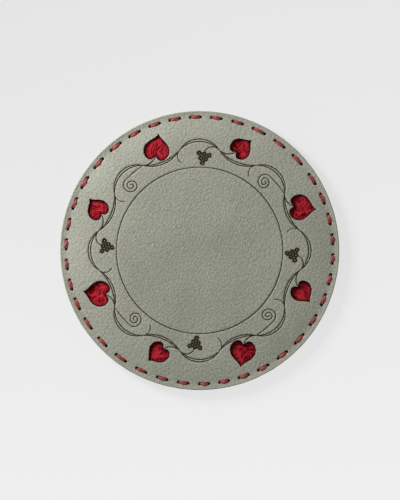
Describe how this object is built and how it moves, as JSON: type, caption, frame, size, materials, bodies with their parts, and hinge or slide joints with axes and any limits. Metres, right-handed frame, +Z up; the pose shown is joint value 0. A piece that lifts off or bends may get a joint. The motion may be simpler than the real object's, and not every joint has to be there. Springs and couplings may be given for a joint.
{
  "type": "drink coaster",
  "caption": "Round two-layer leather drink coaster, sewn round the rim with a running stitch, with leaf-shaped red leather inlays set in windows of the upper layer.",
  "frame": {"origin": "centre of the underside, on the surface that the coaster lies on", "axes": "+Z up out of the face that a glass stands on, +X and +Y in the plane of the disc"},
  "size_m": [0.1, 0.1, 0.004],
  "materials": {
    "face_leather": "sage grey-green pebbled grain, soft sheen",
    "backing_leather": "sage grey-green pebbled grain, matt",
    "inlay_leather": "crimson creased grain, low sheen",
    "thread": "dull red waxed twisted thread"
  },
  "bodies": {
    "root": {"backing_leather": "backing_leather", "face_leather": "face_leather", "red_leaf_inlay_1": "inlay_leather", "red_leaf_inlay_2": "inlay_leather", "red_leaf_inlay_3": "inlay_leather", "red_leaf_inlay_4": "inlay_leather", "red_leaf_inlay_5": "inlay_leather", "red_leaf_inlay_6": "inlay_leather", "red_leaf_inlay_7": "inlay_leather", "red_leaf_inlay_8": "inlay_leather", "edge_stitching": "thread"}
  },
  "joints": []
}
